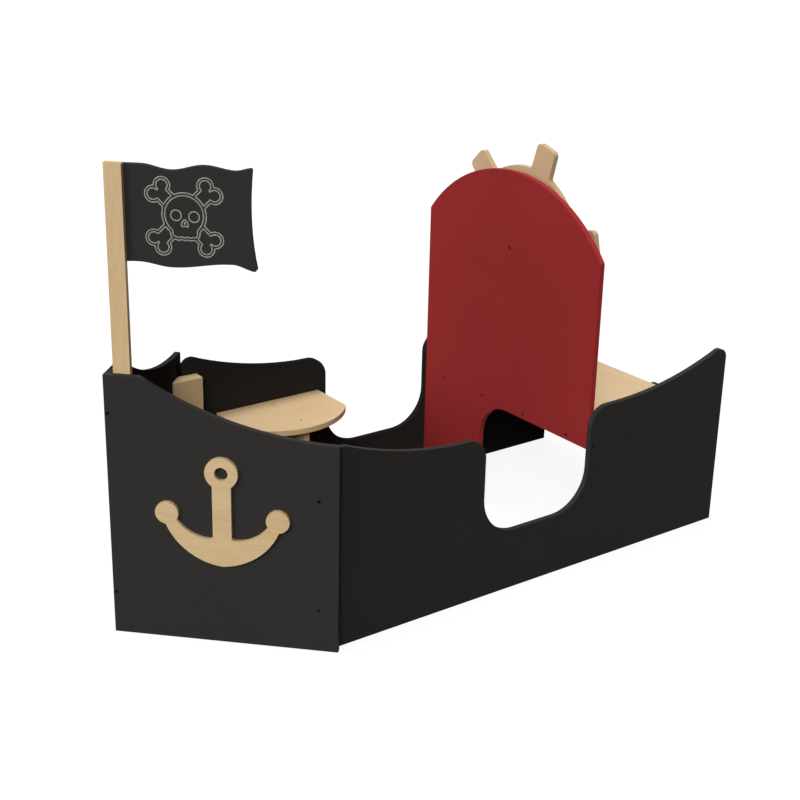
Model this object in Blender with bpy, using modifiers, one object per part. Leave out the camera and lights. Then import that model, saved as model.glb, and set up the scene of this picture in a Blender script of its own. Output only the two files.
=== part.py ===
"""A pirate play boat of flat boards screwed together, with a steering wheel that turns.

X points to port, Y aft and Z up, in metres. The origin lies on the floor, at the middle of the
boat's overall box. Places along the hull count aft from the line through the two bow corners,
and places on a bow board count along it from the stem.
"""

import math

import bmesh
import bpy
from mathutils import Matrix, Vector
from mathutils.geometry import interpolate_bezier

# Boards and seams
BOARD = 0.018
SEAM = 0.0003
CHORD_ERROR = 0.0002

# Hull: two bow boards at right angles to each other, whose ends stand out past two side boards
LENGTH = 2.000
BEAM = 0.919
BOW_OVERHANG = 0.0278
BOW_HEIGHT = 0.783
BOW_FLAT = 0.0997
BOW_DROP_PULL = (0.0957, -0.0614)
BOW_TAIL_HEIGHT = 0.6262
BOW_TAIL_PULL = (-0.2573, 0.0022)
BOW_SWEEP_POINTS = 17
SIDE_HEIGHT = 0.5233
FORE_SHEER_RADIUS = 1.1965
AFT_SHEER_RADIUS = 1.211
FORE_SHEER_START = 0.045
AFT_SHEER_START = 0.0957
SIDE_FORE_CORNER = 0.037
SIDE_AFT_CORNER = 0.032

# Gate in each side board
GATE_START = 0.536
GATE_WIDTH = 0.417
GATE_SILL = 0.1955
GATE_FOOT_RADIUS = 0.1304
GATE_LIP_RADIUS = 0.067

# Corner posts, between a bow board and a side board
POST_THICKNESS = 0.044
POST_REACH = 0.069
POST_HEIGHT = 0.5602
POST_TIP = 0.009
POST_EDGE = 0.004
POST_EDGE_STEPS = 3

# Helm board, with a leg on starboard only and a crawl opening beside it
HELM_START = 0.9587
HELM_HEIGHT = 1.1757
HELM_ARCH_RADIUS = 0.527
CRAWL_HEIGHT = 0.380
CRAWL_RADIUS = 0.130
HELM_LEG_WIDTH = 0.3056

# Bench, and the leg under its port end
BENCH_HEIGHT = 0.4037
STERN_LEG_WIDTH = 0.278
STERN_SET_IN = 0.011

# Table on the starboard side
TABLE_HEIGHT = 0.4097
TABLE_MIDDLE = 0.3111
TABLE_LENGTH = 0.387
TABLE_RADIUS = 0.240
TABLE_INSET = 0.024
TABLE_CORNER = 0.010
SUPPORT_WIDTH = 0.233

# Mast and flag, on the inner face of the port bow board; the flag's heights count from the mast's top
MAST_START = 0.0237
MAST_WIDTH = 0.048
MAST_HEIGHT = 1.3562
FLAG_TOP_WAVES = (
    (0.0237, -0.0054),
    (0.1123, -0.0042),
    (0.1920, -0.0168),
    (0.2836, -0.0002),
    (0.3630, -0.0105),
    (0.4099, -0.0013),
)
FLAG_FOOT_WAVES = (
    (0.4211, -0.2717),
    (0.3558, -0.2558),
    (0.1928, -0.2730),
    (0.1048, -0.2622),
    (0.0237, -0.2664),
)
FLAG_FLY_PULL = (0.3946, -0.1547)
FLAG_CORNER = 0.006
WAVE_STEPS = 8

# Anchor plates, on the outer faces of the bow boards; each half of the keel and each crook is an
# arc whose centre lies to one side of the shank
ANCHOR_THICKNESS = 0.012
ANCHOR_RING_HEIGHT = 0.5247
ANCHOR_RING_RADIUS = 0.0467
ANCHOR_EYE_RADIUS = 0.019
ANCHOR_SHANK_WIDTH = 0.053
ANCHOR_BALL_REACH = 0.1565
ANCHOR_BALL_HEIGHT = 0.3945
ANCHOR_BALL_RADIUS = 0.0331
ANCHOR_KEEL_CENTRE = (-0.0175, 0.4358)
ANCHOR_KEEL_RADIUS = 0.1926
ANCHOR_CROOK_CENTRE = (0.0341, 0.4381)
ANCHOR_CROOK_RADIUS = 0.1127
ANCHOR_FOOT_FILLET = 0.009
ANCHOR_HEAD_FILLET = 0.004

# Steering wheel
HUB_HEIGHT = 0.9295
HANDLES = 6
FIRST_HANDLE_ANGLE = 13.84
HANDLE_REACH = 0.3451
HANDLE_ROOT_WIDTH = 0.0859
HANDLE_TIP_WIDTH = 0.0813
HANDLE_TIP_CORNER = 0.016
HANDLE_ROOT_CORNER = 0.010
RIM_RADIUS = 0.2572
RIM_INNER_RADIUS = 0.190
SPOKE_WIDTH = 0.060
WINDOW_INNER_CORNER = 0.020
WINDOW_OUTER_CORNER = 0.015

# Axle
AXLE_RADIUS = 0.004
AXLE_HEAD_RADIUS = 0.0055
AXLE_HEAD = 0.005
AXLE_SINK = 0.0005
SPACER_RADIUS = 0.025
SPACER_LENGTH = 0.0254
WASHER_RADIUS = 0.020
WASHER = 0.003
BUSH_RADIUS = 0.009
NUT_RADIUS = 0.0075
NUT_LENGTH = 0.008
CAP_RADIUS = 0.015
CAP_HEIGHT = 0.014
CAP_WALL = 0.002
AXLE_SIDES = 24
NUT_SIDES = 6
CAP_ARC_STEPS = 4

# Screws: a flat head sunk in a counterbore, on a plain shank
SCREW_HEAD_RADIUS = 0.0048
SCREW_HEAD = 0.004
SCREW_SINK = 0.001
SCREW_SHANK_RADIUS = 0.0025
LONG_SCREW = 0.045
SHORT_SCREW = 0.030
ANCHOR_SCREW = 0.025
SCREW_SIDES = 12
CUTTER_OVERSHOOT = 0.003

# Screw places
STEM_SCREW_HEIGHTS = (0.127, 0.6715)
BOW_POST_SCREW_MARGIN = 0.0558
BOW_POST_SCREW_HEIGHTS = (0.1275, 0.4615)
SIDE_POST_SCREW_PLACE = 0.028
SIDE_POST_SCREW_HEIGHTS = (0.106, 0.481)
BENCH_SIDE_SCREW_MARGINS = (0.124, 0.1185)
HELM_SCREW_MARGIN = 0.0992
HELM_SCREWS = 4
STERN_SIDE_SCREW_HEIGHTS = (0.035, 0.110)
STERN_BENCH_SCREW_OFFSETS = (0.064, 0.214)
TABLE_SCREW_OFFSETS = (0.036, 0.198)
TABLE_SIDE_SCREW_SPREAD = 0.120
SUPPORT_SCREW_HEIGHT = 0.200
MAST_SCREW_HEIGHTS = (0.200, 0.650)
FLAG_SCREW_DROPS = (0.217, 0.047)
ANCHOR_SCREW_REACH = 0.100

# Colours as 8-bit screen values
BLACK = (46, 45, 43)
RED = (137, 42, 42)
WOOD = (218, 192, 150)
STEEL = (150, 150, 152)
DARK_STEEL = (60, 58, 56)
DARK_PLASTIC = (38, 38, 40)

# What follows from those sizes
STEM_Y = -LENGTH / 2
CORNER_X = BEAM / 2
BOW_LENGTH = CORNER_X * math.sqrt(2.0)
CORNER_Y = STEM_Y + CORNER_X
STERN = LENGTH / 2 - CORNER_Y
SIDE_FACE = CORNER_X - BOW_OVERHANG
SIDE_INNER_FACE = SIDE_FACE - BOARD
INNER_REACH = SIDE_INNER_FACE - SEAM
BOW_SLANT = BOARD * math.sqrt(2.0) - CORNER_X
SIDE_START = SIDE_FACE + BOW_SLANT + SEAM * math.sqrt(2.0)
GATE_END = GATE_START + GATE_WIDTH
HELM_BACK = HELM_START + BOARD
STERN_LEG_START = STERN - STERN_SET_IN - BOARD
MAST_FACE = -BOARD - SEAM
FLAG_FACE = MAST_FACE - BOARD - SEAM
ANCHOR_MIDDLE = BOW_LENGTH / 2
MIRROR = Matrix.Diagonal((-1.0, 1.0, 1.0, 1.0))


def clear_scene():
    for obj in list(bpy.data.objects):
        bpy.data.objects.remove(obj)


def new_collection(name):
    collection = bpy.data.collections.new(name)
    bpy.context.scene.collection.children.link(collection)
    return collection


def linear(channel):
    value = channel / 255.0
    if value <= 0.04045:
        return value / 12.92
    return ((value + 0.055) / 1.055) ** 2.4


def material(name, colour, roughness, metallic=0.0):
    made = bpy.data.materials.new(name)
    made.use_nodes = True
    shader = made.node_tree.nodes["Principled BSDF"]
    tint = tuple(linear(channel) for channel in colour)
    shader.inputs["Base Color"].default_value = (*tint, 1.0)
    shader.inputs["Roughness"].default_value = roughness
    shader.inputs["Metallic"].default_value = metallic
    made.diffuse_color = (*tint, 1.0)
    return made


# Frames: each has its first axis along the board, its second up, and its third out of the face


def framed(along, up, origin):
    out = along.cross(up)
    axes = Matrix((along, up, out)).transposed().to_4x4()
    return Matrix.Translation(origin) @ axes


def bow_frame():
    """On the outer face of the port bow board, at the stem's foot."""
    return framed(Vector((1.0, 1.0, 0.0)).normalized(), Vector((0.0, 0.0, 1.0)), (0.0, STEM_Y, 0.0))


def side_frame():
    """Along the centre plane, from the line of the bow corners, facing port."""
    return framed(Vector((0.0, 1.0, 0.0)), Vector((0.0, 0.0, 1.0)), (0.0, CORNER_Y, 0.0))


def cross_frame(place, height=0.0):
    """Across the boat at a place along the hull, facing the bow."""
    return framed(Vector((1.0, 0.0, 0.0)), Vector((0.0, 0.0, 1.0)), (0.0, CORNER_Y + place, height))


def plan_frame():
    """Flat on the floor, from the line of the bow corners, facing up."""
    return Matrix.Translation((0.0, CORNER_Y, 0.0))


def mirrored(frame):
    return MIRROR @ frame @ MIRROR


# Outlines, as lists of points in a frame's first two axes


def arc(centre, start, end, turn):
    """Points on a circle from start to end; turn is 1 for anticlockwise and -1 for clockwise."""
    middle = Vector(centre)
    first = Vector(start) - middle
    last = Vector(end) - middle
    begin = math.atan2(first.y, first.x)
    sweep = turn * (math.atan2(last.y, last.x) - begin) % math.tau
    step = 2.0 * math.acos(1.0 - CHORD_ERROR / first.length)
    count = max(2, math.ceil(sweep / step))
    angles = [begin + turn * sweep * index / count for index in range(count + 1)]
    return [middle + first.length * Vector((math.cos(angle), math.sin(angle))) for angle in angles]


def circle(centre, radius):
    start = (centre[0] + radius, centre[1])
    opposite = (centre[0] - radius, centre[1])
    return arc(centre, start, opposite, 1)[:-1] + arc(centre, opposite, start, 1)[:-1]


def rounded(corners):
    """An outline from (x, y, radius) corners, each fillet limited by the edges beside it."""
    outline = []
    count = len(corners)
    for index, (x, y, radius) in enumerate(corners):
        tip = Vector((x, y))
        before = corners[index - 1]
        after = corners[(index + 1) % count]
        if radius == 0.0:
            outline.append(tip)
            continue
        back = Vector(before[:2]) - tip
        ahead = Vector(after[:2]) - tip
        half_angle = back.angle(ahead) / 2.0
        room_back = back.length * (0.5 if before[2] else 0.98)
        room_ahead = ahead.length * (0.5 if after[2] else 0.98)
        setback = min(radius / math.tan(half_angle), room_back, room_ahead)
        start = tip + setback * back.normalized()
        end = tip + setback * ahead.normalized()
        inward = (back.normalized() + ahead.normalized()).normalized()
        centre = tip + inward * setback / math.cos(half_angle)
        turn = 1 if back.cross(ahead) < 0.0 else -1
        outline.extend(arc(centre, start, end, turn))
    return outline


def plain(points):
    """Turn outline points into corners without a fillet."""
    return [(point[0], point[1], 0.0) for point in points]


def circles_meet(first, first_radius, second, second_radius):
    """Where two circles cross, to the right of the line from the first to the second."""
    start = Vector(first)
    line = Vector(second) - start
    along = (first_radius ** 2 - second_radius ** 2 + line.length_squared) / (2.0 * line.length)
    across = math.sqrt(first_radius ** 2 - along ** 2)
    unit = line.normalized()
    return start + along * unit + across * Vector((unit.y, -unit.x))


def on_circle_at(centre, radius, x):
    """The lower point of a circle that lies this far right of its centre."""
    return centre + Vector((x, -math.sqrt(radius ** 2 - x ** 2)))


def waves(crests):
    """A line that runs level through each crest and trough and eases from one to the next."""
    points = []
    for (x0, y0), (x1, y1) in zip(crests, crests[1:]):
        for index in range(WAVE_STEPS):
            share = index / WAVE_STEPS
            ease = (1.0 - math.cos(math.pi * share)) / 2.0
            points.append((x0 + (x1 - x0) * share, y0 + (y1 - y0) * ease))
    points.append(crests[-1])
    return points


# Solids


def shade(mesh):
    mesh.shade_smooth()
    mesh.set_sharp_from_angle(angle=math.radians(30.0))


def baked(obj):
    """The object's mesh as its modifiers leave it; the object itself is removed."""
    bpy.context.view_layer.update()
    graph = bpy.context.evaluated_depsgraph_get()
    mesh = bpy.data.meshes.new_from_object(obj.evaluated_get(graph))
    bpy.data.objects.remove(obj)
    return mesh


def add_object(name, mesh, matrix, look, collection):
    obj = bpy.data.objects.new(name, mesh)
    collection.objects.link(obj)
    obj.matrix_world = matrix
    mesh.materials.clear()
    if look:
        mesh.materials.append(look)
    return obj


def board(name, outline, frame, face, look, holes=(), thickness=BOARD):
    """A flat board with this outline; its outer face lies at the height face in the frame."""
    curve = bpy.data.curves.new(name, "CURVE")
    curve.dimensions = "2D"
    curve.fill_mode = "BOTH"
    curve.extrude = thickness / 2
    for loop in (outline, *holes):
        spline = curve.splines.new("POLY")
        spline.points.add(len(loop) - 1)
        for point, (x, y) in zip(spline.points, loop):
            point.co = (x, y, 0.0, 1.0)
        spline.use_cyclic_u = True
    sheet = bpy.data.objects.new(name, curve)
    bpy.context.scene.collection.objects.link(sheet)
    sheet.matrix_world = frame @ Matrix.Translation((0.0, 0.0, face - thickness / 2))
    matrix = sheet.matrix_world.copy()
    mesh = baked(sheet)
    shell = bmesh.new()
    shell.from_mesh(mesh)
    bmesh.ops.remove_doubles(shell, verts=shell.verts, dist=0.00001)
    bmesh.ops.dissolve_limit(shell, angle_limit=0.001, verts=shell.verts, edges=shell.edges)
    bmesh.ops.recalc_face_normals(shell, faces=shell.faces)
    shell.to_mesh(mesh)
    shell.free()
    shade(mesh)
    return add_object(name, mesh, matrix, look, PARTS)


def plank(name, low, high, frame, look):
    """A box between two corners of the frame."""
    near = Vector(low)
    far = Vector(high)
    block = bmesh.new()
    bmesh.ops.create_cube(block, size=1.0, matrix=Matrix.Diagonal((*(far - near), 1.0)))
    mesh = bpy.data.meshes.new(name)
    block.to_mesh(mesh)
    block.free()
    return add_object(name, mesh, frame @ Matrix.Translation((near + far) / 2), look, PARTS)


def turned(name, profile, sides, matrix, look, collection):
    """A profile of (radius, height) points turned about the matrix's third axis."""
    count = len(profile)
    edges = [(index, index + 1) for index in range(count - 1)]
    if profile[0][0] > 0.0:
        edges.append((count - 1, 0))
    mesh = bpy.data.meshes.new(name)
    mesh.from_pydata([(radius, 0.0, height) for radius, height in profile], edges, [])
    obj = add_object(name, mesh, matrix, look, collection)
    lathe = obj.modifiers.new("Turning", "SCREW")
    lathe.steps = sides
    lathe.render_steps = sides
    lathe.use_merge_vertices = True
    lathe.merge_threshold = 0.00001
    lathe.use_smooth_shade = sides > NUT_SIDES
    return obj


def ring(name, inner, outer, top, bottom, sides, matrix, look):
    profile = [(inner, top), (outer, top), (outer, bottom), (inner, bottom)]
    return turned(name, profile, sides, matrix, look, PARTS)


def mirror_copy(obj, name):
    mesh = obj.data.copy()
    mesh.transform(MIRROR)
    mesh.flip_normals()
    return add_object(name, mesh, mirrored(obj.matrix_world), obj.data.materials[0], PARTS)


def cut(piece, cutter):
    hole = piece.modifiers.new(cutter.name, "BOOLEAN")
    hole.operation = "DIFFERENCE"
    hole.solver = "EXACT"
    hole.object = cutter


def as_cutter(obj):
    obj.hide_render = True
    obj.display_type = "WIRE"
    return obj


# Fasteners


def headed_profile(head_radius, head, shank_radius, top, bottom):
    shoulder = top - head
    return [
        (0.0, top),
        (head_radius, top),
        (head_radius, shoulder),
        (shank_radius, shoulder),
        (shank_radius, bottom),
        (0.0, bottom),
    ]


def headed_pin(name, head_radius, head, shank_radius, sink, length, sides, matrix, look):
    """A headed pin whose head lies sunk below the face at the matrix's origin."""
    profile = headed_profile(head_radius, head, shank_radius, -sink, -sink - length)
    return turned(name, profile, sides, matrix, look, PARTS)


def headed_hole(name, head_radius, head, shank_radius, sink, length, sides, matrix):
    """The hole for that pin, with a seam all round it and open at the face."""
    top = CUTTER_OVERSHOOT
    profile = headed_profile(
        head_radius + SEAM,
        top + sink + head + SEAM,
        shank_radius + SEAM,
        top,
        -sink - length - SEAM,
    )
    return as_cutter(turned(name, profile, sides, matrix, None, CUTTERS))


def fasten(name, length, matrices, pieces, look=None):
    """Sink like screws at these matrices, and open their holes in the pieces they pass through."""
    look = look or DARK_STEEL_LOOK
    sizes = (SCREW_HEAD_RADIUS, SCREW_HEAD, SCREW_SHANK_RADIUS, SCREW_SINK, length, SCREW_SIDES)
    centre = Matrix.Identity(4)
    screw = baked(headed_pin("screw", *sizes, centre, look))
    hole = baked(headed_hole("hole", *sizes, centre))
    holes = bmesh.new()
    for number, matrix in enumerate(matrices, start=1):
        add_object(f"{name}_screw_{number}", screw, matrix, look, PARTS)
        known = len(holes.verts)
        holes.from_mesh(hole)
        holes.verts.ensure_lookup_table()
        bmesh.ops.transform(holes, matrix=matrix, verts=holes.verts[known:])
    mesh = bpy.data.meshes.new(f"{name}_holes")
    holes.to_mesh(mesh)
    holes.free()
    cutter = as_cutter(add_object(mesh.name, mesh, centre, None, CUTTERS))
    for piece in pieces:
        cut(piece, cutter)


def on_face(frame, x, y, face, from_behind=False):
    """A screw's matrix at a place on a face, from the front or from behind the board."""
    matrix = frame @ Matrix.Translation((x, y, face))
    if from_behind:
        matrix = matrix @ Matrix.Rotation(math.pi, 4, "X")
    return matrix


# Hull


def bow_outline(start):
    """A bow board's outline; its level top is as long on both boards, from where each starts."""
    shoulder = Vector((start + BOW_FLAT, BOW_HEIGHT))
    tail = Vector((BOW_LENGTH, BOW_TAIL_HEIGHT))
    shoulder_handle = shoulder + Vector(BOW_DROP_PULL)
    tail_handle = tail + Vector(BOW_TAIL_PULL)
    sweep = interpolate_bezier(shoulder, shoulder_handle, tail_handle, tail, BOW_SWEEP_POINTS)
    top = [(point[0], point[1]) for point in sweep]
    return [(start, 0.0), (BOW_LENGTH, 0.0), *reversed(top), (start, BOW_HEIGHT)]


def make_bow_boards():
    frame = bow_frame()
    port = board("port_bow_board", bow_outline(0.0), frame, 0.0, BLACK_LOOK)
    butted = board("butted_bow_board", bow_outline(BOARD + SEAM), frame, 0.0, BLACK_LOOK)
    starboard = mirror_copy(butted, "starboard_bow_board")
    bpy.data.objects.remove(butted)
    return port, starboard


def sheer(centre_place, radius, place):
    """Height of a side board's top edge, on an arc that touches its level middle."""
    away = place - centre_place
    return SIDE_HEIGHT + radius - math.sqrt(radius ** 2 - away ** 2)


def side_outline():
    fore_start = GATE_START - FORE_SHEER_START
    aft_start = GATE_END + AFT_SHEER_START
    lip_start = GATE_START - GATE_LIP_RADIUS
    fore_height = sheer(fore_start, FORE_SHEER_RADIUS, SIDE_START)
    aft_height = sheer(aft_start, AFT_SHEER_RADIUS, STERN)
    fore_turn = SIDE_START + 2.0 * SIDE_FORE_CORNER
    aft_turn = STERN - 2.0 * SIDE_AFT_CORNER
    fore_arc = arc(
        (fore_start, SIDE_HEIGHT + FORE_SHEER_RADIUS),
        (lip_start, sheer(fore_start, FORE_SHEER_RADIUS, lip_start)),
        (fore_turn, sheer(fore_start, FORE_SHEER_RADIUS, fore_turn)),
        -1,
    )
    aft_arc = arc(
        (aft_start, SIDE_HEIGHT + AFT_SHEER_RADIUS),
        (aft_turn, sheer(aft_start, AFT_SHEER_RADIUS, aft_turn)),
        (aft_start, SIDE_HEIGHT),
        -1,
    )
    corners = [
        (SIDE_START, 0.0, 0.0),
        (STERN, 0.0, 0.0),
        (STERN, aft_height, SIDE_AFT_CORNER),
        *plain(aft_arc),
        (GATE_END, SIDE_HEIGHT, GATE_LIP_RADIUS),
        (GATE_END, GATE_SILL, GATE_FOOT_RADIUS),
        (GATE_START, GATE_SILL, GATE_FOOT_RADIUS),
        (GATE_START, SIDE_HEIGHT, GATE_LIP_RADIUS),
        *plain(fore_arc)[1:],
        (SIDE_START, fore_height, SIDE_FORE_CORNER),
    ]
    return rounded(corners)


def make_side_boards():
    port = board("port_side_board", side_outline(), side_frame(), SIDE_FACE, BLACK_LOOK)
    return port, mirror_copy(port, "starboard_side_board")


def post_section():
    """A square-sawn post, cut at 45 degrees against the bow board, with its sharp tip sawn off."""
    outer = INNER_REACH
    inner = outer - POST_THICKNESS
    slant = BOW_SLANT + SEAM * math.sqrt(2.0)
    back = outer + slant + POST_REACH
    front = inner + slant + POST_TIP
    return [(outer, outer + slant), (outer, back), (inner, back), (inner, front), (inner + POST_TIP, front)]


def make_posts():
    port = board(
        "port_corner_post",
        post_section(),
        plan_frame(),
        POST_HEIGHT,
        WOOD_LOOK,
        thickness=POST_HEIGHT,
    )
    starboard = mirror_copy(port, "starboard_corner_post")
    for post in (port, starboard):
        edge = post.modifiers.new("Rounded edges", "BEVEL")
        edge.width = POST_EDGE
        edge.segments = POST_EDGE_STEPS
        edge.limit_method = "ANGLE"
    return port, starboard


# Helm, bench and table


def helm_outline():
    edge = INNER_REACH
    arch_centre = HELM_HEIGHT - HELM_ARCH_RADIUS
    shoulder = arch_centre + math.sqrt(HELM_ARCH_RADIUS ** 2 - edge ** 2)
    leg_edge = HELM_LEG_WIDTH - edge
    arch = arc((0.0, arch_centre), (edge, shoulder), (-edge, shoulder), 1)
    corners = [
        (edge, CRAWL_HEIGHT, 0.0),
        *plain(arch),
        (-edge, 0.0, 0.0),
        (leg_edge, 0.0, 0.0),
        (leg_edge, CRAWL_HEIGHT, CRAWL_RADIUS),
    ]
    return rounded(corners)


def make_helm():
    return board("helm_board", helm_outline(), cross_frame(HELM_START), 0.0, RED_LOOK)


def make_bench():
    low = (-INNER_REACH, HELM_BACK + SEAM, BENCH_HEIGHT - BOARD)
    high = (INNER_REACH, STERN_LEG_START - SEAM, BENCH_HEIGHT)
    return plank("bench_board", low, high, plan_frame(), WOOD_LOOK)


def make_stern_leg():
    low = (INNER_REACH - STERN_LEG_WIDTH, 0.0, -BOARD)
    high = (INNER_REACH, BENCH_HEIGHT, 0.0)
    return plank("stern_leg", low, high, cross_frame(STERN_LEG_START), BLACK_LOOK)


def table_outline():
    centre = (TABLE_INSET - SIDE_INNER_FACE, TABLE_MIDDLE)
    half = TABLE_LENGTH / 2
    bulge = centre[0] + math.sqrt(TABLE_RADIUS ** 2 - half ** 2)
    fore = TABLE_MIDDLE - half
    aft = TABLE_MIDDLE + half
    front = arc(centre, (bulge, fore), (bulge, aft), 1)
    corners = [
        (-INNER_REACH, fore, 0.0),
        (bulge, fore, TABLE_CORNER),
        *plain(front[1:-1]),
        (bulge, aft, TABLE_CORNER),
        (-INNER_REACH, aft, 0.0),
    ]
    return rounded(corners)


def make_table():
    top = board("table_top", table_outline(), plan_frame(), TABLE_HEIGHT, WOOD_LOOK)
    low = (-INNER_REACH, TABLE_MIDDLE - BOARD / 2, 0.0)
    high = (-INNER_REACH + SUPPORT_WIDTH, TABLE_MIDDLE + BOARD / 2, TABLE_HEIGHT - BOARD - SEAM)
    return top, plank("table_support", low, high, plan_frame(), WOOD_LOOK)


# Mast, flag and anchors


def make_mast():
    low = (MAST_START, 0.0, MAST_FACE - BOARD)
    high = (MAST_START + MAST_WIDTH, MAST_HEIGHT, MAST_FACE)
    return plank("mast", low, high, bow_frame(), WOOD_LOOK)


def flag_outline():
    top_tip = Vector(FLAG_TOP_WAVES[-1])
    foot_tip = Vector(FLAG_FOOT_WAVES[0])
    pull = Vector(FLAG_FLY_PULL)
    fly = []
    for index in range(1, WAVE_STEPS):
        share = index / WAVE_STEPS
        fly.append(foot_tip.lerp(pull, share).lerp(pull.lerp(top_tip, share), share))
    foot = waves(FLAG_FOOT_WAVES)
    corners = [
        *plain(reversed(foot[1:])),
        (*foot_tip, FLAG_CORNER),
        *plain(fly),
        (*top_tip, FLAG_CORNER),
        *plain(reversed(waves(FLAG_TOP_WAVES)[:-1])),
    ]
    return rounded(corners)


def make_flag():
    mast_top = bow_frame() @ Matrix.Translation((0.0, MAST_HEIGHT, 0.0))
    return board("flag", flag_outline(), mast_top, FLAG_FACE, BLACK_LOOK)


def anchor_outline():
    """The right half from the keel's lowest point round to the ring's top, then its mirror."""
    keel = Vector(ANCHOR_KEEL_CENTRE)
    crook = Vector(ANCHOR_CROOK_CENTRE)
    ball = Vector((ANCHOR_BALL_REACH, ANCHOR_BALL_HEIGHT))
    eye = Vector((0.0, ANCHOR_RING_HEIGHT))
    half_shank = ANCHOR_SHANK_WIDTH / 2
    crook_start = half_shank + 2.0 * ANCHOR_FOOT_FILLET
    keel_foot = on_circle_at(keel, ANCHOR_KEEL_RADIUS, -keel.x)
    keel_end = circles_meet(keel, ANCHOR_KEEL_RADIUS, ball, ANCHOR_BALL_RADIUS)
    crook_end = circles_meet(crook, ANCHOR_CROOK_RADIUS, ball, ANCHOR_BALL_RADIUS)
    shank_foot = on_circle_at(crook, ANCHOR_CROOK_RADIUS, half_shank - crook.x)
    shank_head = on_circle_at(eye, ANCHOR_RING_RADIUS, half_shank)
    ring_top = eye + Vector((0.0, ANCHOR_RING_RADIUS))
    crook_turn = on_circle_at(crook, ANCHOR_CROOK_RADIUS, crook_start - crook.x)
    ring_turn = on_circle_at(eye, ANCHOR_RING_RADIUS, half_shank + 2.0 * ANCHOR_HEAD_FILLET)
    half = [
        *plain(arc(keel, keel_foot, keel_end, 1)),
        *plain(arc(ball, keel_end, crook_end, 1)[1:]),
        *plain(arc(crook, crook_end, crook_turn, -1)[1:]),
        (*shank_foot, ANCHOR_FOOT_FILLET),
        (*shank_head, ANCHOR_HEAD_FILLET),
        *plain(arc(eye, ring_turn, ring_top, 1)),
    ]
    other_half = [(-x, y, radius) for x, y, radius in reversed(half[1:-1])]
    return rounded([(ANCHOR_MIDDLE + x, y, radius) for x, y, radius in [*half, *other_half]])


def make_anchors():
    eye = circle((ANCHOR_MIDDLE, ANCHOR_RING_HEIGHT), ANCHOR_EYE_RADIUS)
    port = board(
        "port_anchor",
        anchor_outline(),
        bow_frame(),
        SEAM + ANCHOR_THICKNESS,
        WOOD_LOOK,
        holes=[eye],
        thickness=ANCHOR_THICKNESS,
    )
    return port, mirror_copy(port, "starboard_anchor")


# Steering wheel


def handle_angle(index):
    return math.radians(FIRST_HANDLE_ANGLE) + math.tau * index / HANDLES


def handle_corner(along, across, radius, angle):
    """A corner with this fillet, given along and across a handle that stands at this angle."""
    point = Matrix.Rotation(angle, 2) @ Vector((along, across))
    return (point.x, point.y, radius)


def wheel_outline():
    half_root = HANDLE_ROOT_WIDTH / 2
    half_tip = HANDLE_TIP_WIDTH / 2
    root = math.sqrt(RIM_RADIUS ** 2 - half_root ** 2)
    corners = []
    for index in range(HANDLES):
        angle = handle_angle(index)
        following = handle_angle(index + 1)
        leaving = handle_corner(root, half_root, HANDLE_ROOT_CORNER, angle)
        arriving = handle_corner(root, -half_root, HANDLE_ROOT_CORNER, following)
        rim = arc((0.0, 0.0), leaving[:2], arriving[:2], 1)
        corners += [
            handle_corner(HANDLE_REACH, -half_tip, HANDLE_TIP_CORNER, angle),
            handle_corner(HANDLE_REACH, half_tip, HANDLE_TIP_CORNER, angle),
            leaving,
            *plain(rim[1:-1]),
            arriving,
        ]
    return rounded(corners)


def wheel_window(index):
    """The opening between a spoke and the next one."""
    half_spoke = SPOKE_WIDTH / 2
    angle = handle_angle(index)
    following = handle_angle(index + 1)
    far = math.sqrt(RIM_INNER_RADIUS ** 2 - half_spoke ** 2)
    near = half_spoke / math.tan(math.pi / HANDLES)
    start = handle_corner(far, half_spoke, WINDOW_OUTER_CORNER, angle)
    end = handle_corner(far, -half_spoke, WINDOW_OUTER_CORNER, following)
    outer = arc((0.0, 0.0), start[:2], end[:2], 1)
    apex = handle_corner(near, half_spoke, WINDOW_INNER_CORNER, angle)
    return rounded([apex, start, *plain(outer[1:-1]), end])


def make_wheel():
    front = SPACER_LENGTH + WASHER + 3.0 * SEAM
    frame = cross_frame(HELM_BACK + front, HUB_HEIGHT)
    holes = [wheel_window(index) for index in range(HANDLES)]
    holes.append(circle((0.0, 0.0), BUSH_RADIUS + SEAM))
    wheel = board("steering_wheel", wheel_outline(), frame, 0.0, WOOD_LOOK, holes)
    bore = AXLE_RADIUS + SEAM
    ring("wheel_bush", bore, BUSH_RADIUS, 0.0, -BOARD, AXLE_SIDES, frame, PLASTIC_LOOK)
    return wheel


def cap_profile():
    """A domed cap, open towards the wheel; heights count down from its top."""
    centre = CAP_RADIUS - CAP_HEIGHT
    outside = []
    inside = []
    for index in range(CAP_ARC_STEPS + 1):
        angle = math.pi / 2 * index / CAP_ARC_STEPS
        outside.append((CAP_RADIUS * math.sin(angle), CAP_HEIGHT * math.cos(angle)))
        hollow = (CAP_RADIUS - CAP_WALL, CAP_HEIGHT - CAP_WALL)
        inside.append((hollow[0] * math.sin(angle), hollow[1] * math.cos(angle)))
    return outside + inside[::-1]


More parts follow.
